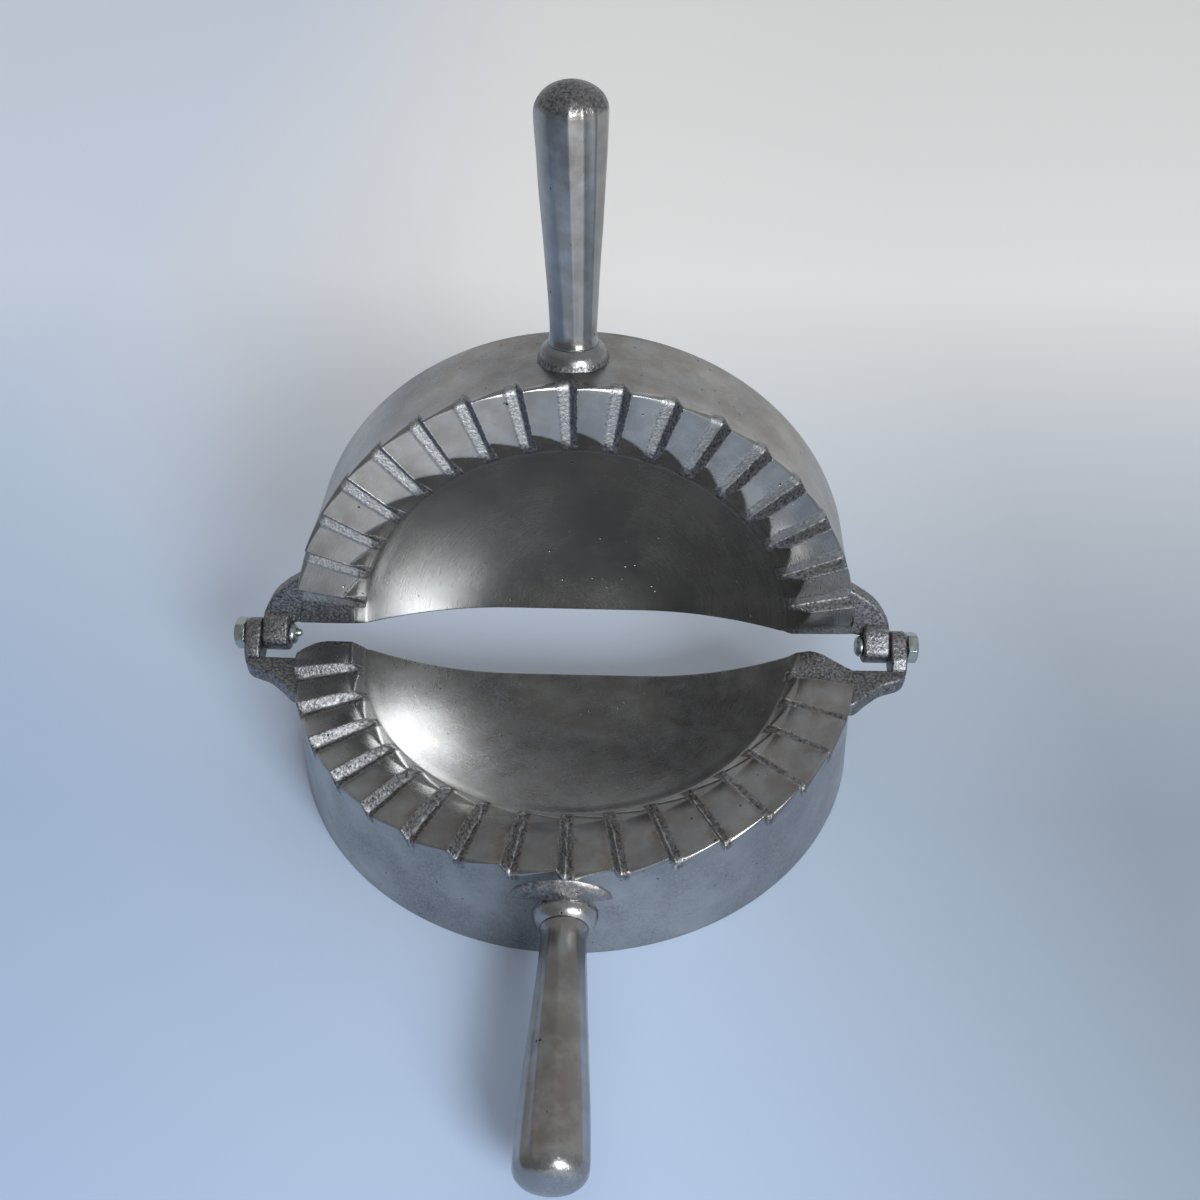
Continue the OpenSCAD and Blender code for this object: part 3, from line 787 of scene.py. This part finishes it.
def cast_aluminium(name, dull, shiny):
    """Sand-cast aluminium, hand ground.  Where it was left as cast it is a dull grey with
    a sandy grain.  Where it was ground it is smoother and mirrors its surroundings, drawn
    out a little by fine streaks along the belt's way.  A thin brown layer lies on it in
    blotches, crests and the skin beside the valleys are lightened, partly worn bright and
    partly as painted highlights, and small dark pits from the sand show in clusters.
    `dull` and `shiny` are its roughness as cast and as polished."""
    material, tree = new_material(name)
    where = node(tree, "ShaderNodeTexCoord", out="Object")
    grind = node(tree, "ShaderNodeAttribute", out="Vector", attribute_name="grind")
    finish = node(tree, "ShaderNodeAttribute", out="Fac", attribute_name="finish")
    film_and_painted_light = node(tree, "ShaderNodeAttribute", out="Fac", attribute_name="film_and_painted_light")

    # Grain sizes in millimetres, as noise scales per metre.  Real sand grains are about
    # a third of the size here, and are drawn as coarse as they need to show.
    patches = node(tree, NOISE, {"Vector": where, "Scale": 1000 / 16.0, "Detail": 4.0, "Roughness": 0.6})
    sand = node(tree, NOISE, {"Vector": where, "Scale": 1000 / 0.9, "Detail": 2.5, "Roughness": 0.6})
    smudge = node(tree, NOISE, {"Vector": where, "Scale": 1000 / 30.0, "Detail": 3.0, "Roughness": 0.6})
    blotch = node(tree, NOISE, {"Vector": where, "Scale": 1000 / 8.0, "Detail": 5.0, "Roughness": 0.62})
    streaks = node(tree, NOISE, {"Vector": grind, "Scale": 1000 / 0.8, "Detail": 2.0, "Roughness": 0.6})
    clusters = node(tree, NOISE, {"Vector": where, "Scale": 1000 / 13.0, "Detail": 2.0})
    cells = node(tree, "ShaderNodeTexVoronoi", {"Vector": where, "Scale": 1000 / 4.5}, feature="F1")

    # How far the belt cut, patch by patch, and the pits
    worn = node(tree, MATH, {0: patches, 1: 0.7, 2: finish}, operation="MULTIPLY_ADD")
    polish = node(tree, RANGE, {0: worn, 1: 0.55, 2: 1.1})
    unpolished = node(tree, MATH, {0: 1.0, 1: polish}, operation="SUBTRACT")
    spots = node(tree, RANGE, {0: cells, 1: 0.04, 2: 0.1, 3: 1.0, 4: 0.0})
    clustered = node(tree, RANGE, {0: clusters, 1: 0.5, 2: 0.57})
    pit = node(tree, MATH, {0: spots, 1: clustered}, operation="MULTIPLY")

    # Colour: cast skin or ground metal, browned by the stain, lightened by wear and painted highlights, and
    # pitted
    grains = node(tree, RANGE, {0: sand, 1: 0.33, 2: 0.67})
    cast = node(tree, MIX, {0: grains, 6: linear("#505257"), 7: linear("#a3a2a2")}, 2, data_type="RGBA")
    smudges = node(tree, RANGE, {0: smudge, 1: 0.35, 2: 0.65})
    ground = node(tree, MIX, {0: smudges, 6: linear("#979899"), 7: linear("#afaeac")}, 2, data_type="RGBA")
    colour = node(tree, MIX, {0: polish, 6: cast, 7: ground}, 2, data_type="RGBA")
    blotches = node(tree, RANGE, {0: blotch, 1: 0.36, 2: 0.6})
    browned = node(tree, MATH, {0: film_and_painted_light, 1: blotches}, operation="MULTIPLY", use_clamp=True)
    colour = node(tree, MIX, {0: browned, 6: colour, 7: linear("#b5a18d")}, 2, data_type="RGBA",
                  blend_type="MULTIPLY")
    # Painted highlights, partly real wear: below zero the stain channel lifts the colour towards a pale grey.
    rub_and_glint = node(tree, RANGE, {0: film_and_painted_light, 1: -0.9, 2: -0.1, 3: 0.8, 4: 0.0})
    colour = node(tree, MIX, {0: rub_and_glint, 6: colour, 7: linear("#cfcecc")}, 2, data_type="RGBA")
    colour = node(tree, MIX, {0: pit, 6: colour, 7: linear("#262627")}, 2, data_type="RGBA")

    # Roughness: from dull to shiny, a little more or less with the smudges and streaks
    rough = node(tree, RANGE, {0: polish, 3: dull, 4: shiny})
    rough = node(tree, MATH, {0: rough, 1: node(tree, RANGE, {0: smudge, 1: 0.3, 2: 0.7, 3: -0.03, 4: 0.05})})
    drawn = node(tree, RANGE, {0: streaks, 1: 0.3, 2: 0.7, 3: -0.03, 4: 0.03})
    rough = node(tree, MATH, {0: rough, 1: drawn})

    # Relief: sand where it is unpolished, faint streaks, and sunk pits
    sandy = node(tree, MATH, {0: sand, 1: unpolished}, operation="MULTIPLY")
    height = node(tree, MATH, {0: streaks, 1: 0.08, 2: sandy}, operation="MULTIPLY_ADD")
    height = node(tree, MATH, {0: height, 1: pit}, operation="SUBTRACT")
    relief = node(tree, "ShaderNodeBump", {"Strength": 0.6, "Distance": 0.00042, "Height": height})
    metal = node(tree, "ShaderNodeBsdfPrincipled", {"Base Color": colour, "Metallic": 1.0, "Roughness": rough,
                                                    "Normal": relief})
    node(tree, "ShaderNodeOutputMaterial", {"Surface": metal})
    return material


def zinc_plated_steel():
    """Zinc-plated steel: a cold, slightly cloudy silver, brighter than the castings."""
    material, tree = new_material("zinc_plated_steel")
    where = node(tree, "ShaderNodeTexCoord", out="Object")
    cloud = node(tree, NOISE, {"Vector": where, "Scale": 1000 / 2.2, "Detail": 4.0})
    colour = node(tree, MIX, {0: cloud, 6: linear("#8f9794"), 7: linear("#c4cac8")}, 2, data_type="RGBA")
    rough = node(tree, RANGE, {0: cloud, 1: 0.3, 2: 0.7, 3: 0.2, 4: 0.4})
    relief = node(tree, "ShaderNodeBump", {"Strength": 0.25, "Distance": 0.0001, "Height": cloud})
    metal = node(tree, "ShaderNodeBsdfPrincipled", {"Base Color": colour, "Metallic": 1.0, "Roughness": rough,
                                                    "Normal": relief})
    node(tree, "ShaderNodeOutputMaterial", {"Surface": metal})
    return material


def matt_paper():
    """Matt paper: warm white far away, pale blue closer, and bluer on its left.  It is greyer
    near the object on its right, a painted shadow.  The far and the front part glow, to the
    camera and in the metal only, as painted light that makes them lighter there."""
    material, tree = new_material("matt_paper_floor")
    where = node(tree, "ShaderNodeTexCoord", out="Object")
    x, y = [node(tree, "ShaderNodeSeparateXYZ", {0: where}, axis) for axis in "XY"]
    spread = node(tree, "ShaderNodeValToRGB", {0: node(tree, RANGE, {0: y, 1: -0.5, 2: 0.5})})
    stops = spread.node.color_ramp.elements
    stops[0].position, stops[0].color = 0.1, linear("#dcdbda")
    stops[1].position, stops[1].color = 0.9, linear("#f0f0ef")
    for place, hue in ((0.34, "#c2d7f6"), (0.6, "#c9d7ea")):
        stops.new(place).color = linear(hue)
    # Painted shadow: grey over the paper's right side, strongest close to the object and fading away from it.
    painted_shadow_reach = node(tree, RANGE, {0: y, 1: 0.02, 2: 0.4, 3: 0.72, 4: 0.08})
    right = node(tree, RANGE, {0: x, 1: 0.03, 2: 0.2})
    right = node(tree, MATH, {0: right, 1: painted_shadow_reach}, operation="MULTIPLY")
    shade = node(tree, MIX, {0: right, 6: spread, 7: linear("#868e97")}, 2, data_type="RGBA")
    left = node(tree, RANGE, {0: x, 1: -0.06, 2: -0.3, 3: 0.0, 4: 0.65})
    shade = node(tree, MIX, {0: left, 6: shade, 7: linear("#abcaf4")}, 2, data_type="RGBA")
    # Painted glow: the far and the front right part of the paper emit light seen only by the camera and in
    # the metal.
    camera_ray, glossy_ray = [node(tree, "ShaderNodeLightPath", out=ray)
                              for ray in ("Is Camera Ray", "Is Glossy Ray")]
    seen = node(tree, MATH, {0: camera_ray, 1: glossy_ray}, operation="MAXIMUM")
    far = node(tree, RANGE, {0: y, 1: 0.02, 2: 0.42, 3: 0.02, 4: 0.24})
    ahead = node(tree, RANGE, {0: y, 1: -0.45, 2: -1.0, 3: 0.0, 4: 0.55})
    ahead = node(tree, MATH, {0: ahead, 1: node(tree, RANGE, {0: x, 1: -0.15, 2: 0.1})}, operation="MULTIPLY")
    painted_glow = node(tree, MATH, {0: seen, 1: node(tree, MATH, {0: far, 1: ahead})}, operation="MULTIPLY")
    sheet = node(tree, "ShaderNodeBsdfPrincipled", {"Base Color": shade, "Roughness": 0.6,
                                                    "Emission Color": linear("#fffdf9"),
                                                    "Emission Strength": painted_glow})
    node(tree, "ShaderNodeOutputMaterial", {"Surface": sheet})
    return material


# The pieces
jaws = ("lower", "upper")
for jaw in jaws:
    make_piece(jaw + "_jaw_casting", whole_jaw(jaw), jaw, jaw + "_jaw",
               cast_aluminium("sand_cast_aluminium_" + jaw, 0.46, 0.25))
belt_ground = cast_aluminium("belt_ground_aluminium", 0.4, 0.2)
for jaw in jaws:
    make_piece(jaw + "_club_handle", club_handle(**CLUBS[jaw]), jaw, jaw + "_handle",
               belt_ground)
zinc = zinc_plated_steel()
make_piece("left_bolt", hinge_bolt(-1, 52.6, True), "upper", "left_hinge_bolt", zinc)
make_piece("right_bolt", hinge_bolt(1, 35.8, False), "upper", "right_hinge_bolt", zinc)


# Floor, room, lamp and camera
def paper_floor(half):
    """Square sheet of paper under the object, with its half width in metres."""
    mesh = bpy.data.meshes.new("floor")
    mesh.from_pydata([(-half, -half, 0), (half, -half, 0), (half, half, 0), (-half, half, 0)], [],
                     [(0, 1, 2, 3)])
    mesh.materials.append(matt_paper())
    floor = bpy.data.objects.new("floor", mesh)
    bpy.context.scene.collection.objects.link(floor)


def soft_room():
    """Light from all round: dim ahead of the object, lighter behind it down to the
    horizon and towards the right and the top, and lightest in a low strip in front on
    the right."""
    world = bpy.data.worlds.new("soft_room")
    bpy.context.scene.world = world
    world.use_nodes = True
    tree = world.node_tree
    tree.nodes.clear()
    way = node(tree, "ShaderNodeTexCoord", out="Generated")
    x, y, z = [node(tree, "ShaderNodeSeparateXYZ", {0: way}, axis) for axis in "XYZ"]
    to_strip = node(tree, "ShaderNodeVectorMath", {0: way, 1: (0.2, -0.98, 0.0)}, "Value",
                    operation="DOT_PRODUCT")
    behind = node(tree, RANGE, {0: y, 1: 0.55, 2: 0.9})
    near_horizon = node(tree, RANGE, {0: z, 1: 0.2, 2: 0.5, 3: 1.0, 4: 0.0})
    strip = node(tree, RANGE, {0: to_strip, 1: 0.92, 2: 0.97})
    low = node(tree, RANGE, {0: z, 1: 0.08, 2: 0.24, 3: 1.0, 4: 0.0})
    right = node(tree, RANGE, {0: x, 1: -0.2, 2: 0.9})
    top = node(tree, RANGE, {0: z, 1: 0.6, 2: 0.95})
    level = node(tree, RANGE, {0: y, 1: -0.3, 2: 0.4, 3: 0.22, 4: 0.33})
    for place, reach, strength in ((behind, near_horizon, 0.35), (strip, low, 0.9), (right, 1.0, 0.15),
                                   (top, 1.0, 0.12)):
        share = node(tree, MATH, {0: place, 1: reach}, operation="MULTIPLY")
        level = node(tree, MATH, {0: share, 1: strength, 2: level}, operation="MULTIPLY_ADD")
    background = node(tree, "ShaderNodeBackground", {"Color": (0.98, 1.0, 1.03, 1.0), "Strength": level})
    node(tree, "ShaderNodeOutputWorld", {"Surface": background})


def window_lamp(name, place, target, width, height, watts, hue):
    """Upright soft box at `place`, facing `target`."""
    lamp = bpy.data.lights.new(name, "AREA")
    lamp.shape = "RECTANGLE"
    lamp.size, lamp.size_y = width, height
    lamp.energy = watts
    lamp.color = linear(hue)[:3]
    holder = bpy.data.objects.new(name, lamp)
    bpy.context.scene.collection.objects.link(holder)
    back = Vector(place) - Vector(target)
    holder.matrix_world = Matrix.Translation(place) @ back.to_track_quat("Z", "Y").to_matrix().to_4x4()


def photo_camera(place, turn):
    """Camera at a place beside the hinge line's middle, in metres, turned from straight
    down by three angles about x, y and z.  Its frame is as wide as its focal length."""
    camera = bpy.data.objects.new("camera", bpy.data.cameras.new("camera"))
    bpy.context.scene.collection.objects.link(camera)
    camera.data.lens = 36.0
    camera.data.sensor_width = 36.0
    at = Vector((HINGE / 1000.0 + place).tolist())
    camera.matrix_world = Matrix.Translation(at) @ Euler(np.radians(turn).tolist()).to_matrix().to_4x4()
    bpy.context.scene.camera = camera


paper_floor(6.0)
soft_room()
window_lamp("window_box", (0.56, -0.92, 0.63), (0, 0.02, 0.05), 0.5, 0.44, 12.7, "#f4faff")
photo_camera([0.0167, -0.308835, 0.30456], [47.3445, -0.1971, 1.6222])
bpy.context.scene.view_settings.view_transform = "Standard"
